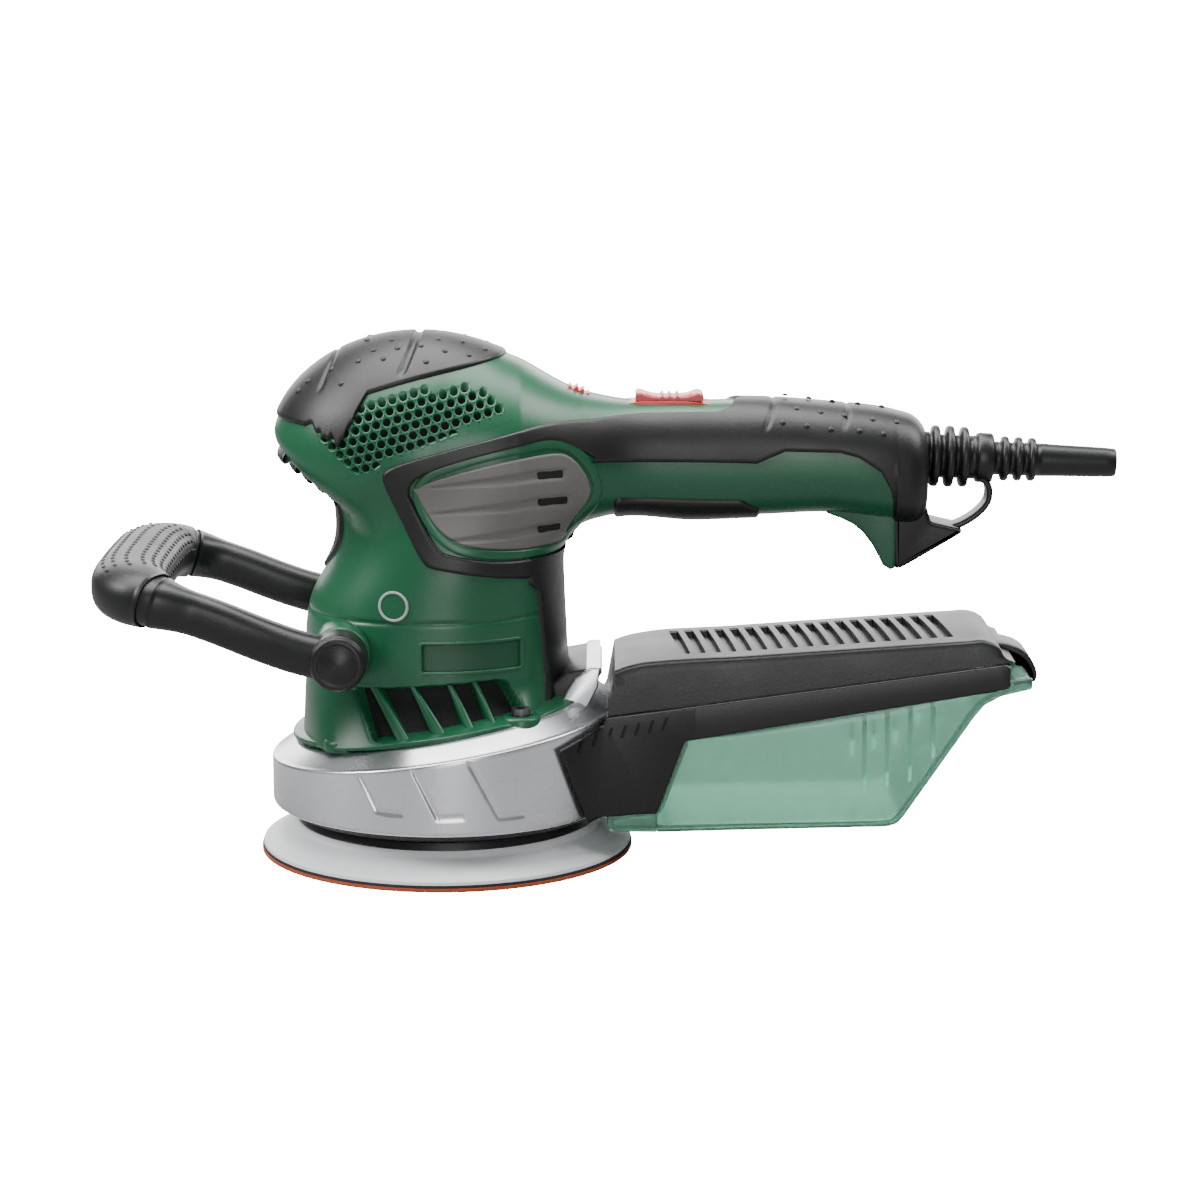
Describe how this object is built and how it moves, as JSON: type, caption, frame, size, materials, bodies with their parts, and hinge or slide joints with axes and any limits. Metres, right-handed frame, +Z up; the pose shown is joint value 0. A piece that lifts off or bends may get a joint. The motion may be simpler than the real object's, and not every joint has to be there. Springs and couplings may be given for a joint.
{
  "type": "random orbit sander",
  "caption": "Hand-held random orbit sander with round sanding pad, domed palm grip, rear D-profile handle, front loop handle and clip-on dust box.",
  "frame": {"origin": "centre of the sanding disc on its working face, with the pad at its rest phase", "axes": "+X towards the cord end, +Y to the far side of the tool, +Z up, away from the work"},
  "size_m": [0.3373, 0.125, 0.174],
  "materials": {
    "green_shell": "fine spark-eroded texture",
    "soft_grip": "satin soft grip",
    "black_plastic": "satin moulded",
    "grey_panel": "fine grained",
    "red_plastic": "semi-gloss",
    "silver_shroud": "satin metallic",
    "steel": "ground",
    "zinc_screw": "blackened",
    "copper_winding": "enamelled copper",
    "lamination": "stacked sheet",
    "commutator_copper": "turned",
    "carbon": "graphite",
    "alloy": "die cast",
    "fan_plastic": "glass filled",
    "board": "coated laminate",
    "lead_insulation": "soft",
    "rubber_ring": "matt",
    "foam": "moulded foam skin",
    "hook": "hook and loop",
    "abrasive": "grit",
    "lid_charcoal": "fine grained",
    "clear_green": "tinted clear plastic",
    "filter_paper": "pleated paper"
  },
  "bodies": {
    "housing": {"housing_left": "green_shell", "housing_right": "green_shell", "palm_grip": "soft_grip", "throat_pad": "soft_grip", "side_grip_left": "soft_grip", "side_grip_right": "soft_grip", "handle_pad": "soft_grip", "vent_panel_left": "grey_panel", "vent_panel_right": "grey_panel", "side_trim": "grey_panel", "housing_screws": "zinc_screw", "base_shroud": "silver_shroud", "shroud_tower": "silver_shroud", "brake_ring": "rubber_ring", "shroud_screws": "zinc_screw", "dust_outlet_duct": "lid_charcoal", "cord_sleeve": "soft_grip", "hanging_strap": "soft_grip", "cord_clamp": "black_plastic", "clamp_screws": "steel", "switch_module": "black_plastic", "switch_plate": "red_plastic", "control_board": "board", "dial_potentiometer": "black_plastic", "field_stator": "lamination", "field_coils": "copper_winding", "brush_holders": "commutator_copper", "carbon_brushes": "carbon", "brush_springs": "steel", "upper_bearing": "steel", "lower_bearing": "steel", "bearing_bracket": "alloy", "inner_leads": "lead_insulation"},
    "rotor": {"motor_shaft": "steel", "armature_core": "lamination", "armature_windings": "copper_winding", "commutator": "commutator_copper", "cooling_fan": "fan_plastic", "eccentric_hub": "alloy", "counterweight": "steel", "dust_fan": "fan_plastic", "pad_bearing": "steel"},
    "pad": {"pad_spindle": "steel", "backing_plate": "black_plastic", "foam_pad": "foam", "hook_layer": "hook", "sanding_disc": "abrasive", "pad_screw": "steel"},
    "front_handle": {"handle_loop": "black_plastic", "handle_grip": "soft_grip", "pivot_caps": "black_plastic", "pivot_bolts": "steel"},
    "switch": {"switch_slider": "red_plastic"},
    "dial": {"speed_wheel": "red_plastic"},
    "dust_box": {"dust_container": "clear_green", "box_frame": "black_plastic", "lid_pin": "steel"},
    "lid": {"box_lid": "lid_charcoal", "filter_frame": "black_plastic", "filter_pleats": "filter_paper"}
  },
  "joints": [
    {"name": "motor_spin", "type": "hinge", "parent": "housing", "child": "rotor", "pos_m": [-0.0025, 0, 0], "axis": [0, 0, 1], "continuous": true},
    {"name": "pad_spin", "type": "hinge", "parent": "rotor", "child": "pad", "pos_m": [0, 0, 0], "axis": [0, 0, 1], "continuous": true},
    {"name": "front_handle_pivot", "type": "hinge", "parent": "housing", "child": "front_handle", "pos_m": [-0.032, 0, 0.0737], "axis": [0, 1, 0], "range_deg": [-30, 25]},
    {"name": "switch_slide", "type": "slide", "parent": "housing", "child": "switch", "axis": [-1, 0, 0], "range_m": [0, 0.005]},
    {"name": "speed_dial", "type": "hinge", "parent": "housing", "child": "dial", "pos_m": [0.0418, 0, 0.1475], "axis": [0, 1, 0], "range_deg": [0, 270]},
    {"name": "dust_box_slide", "type": "slide", "parent": "housing", "child": "dust_box", "axis": [1, 0, 0], "range_m": [0, 0.06]},
    {"name": "lid_hinge", "type": "hinge", "parent": "dust_box", "child": "lid", "pos_m": [0.0583, 0, 0.062], "axis": [0, -1, 0], "range_deg": [0, 11]}
  ]
}
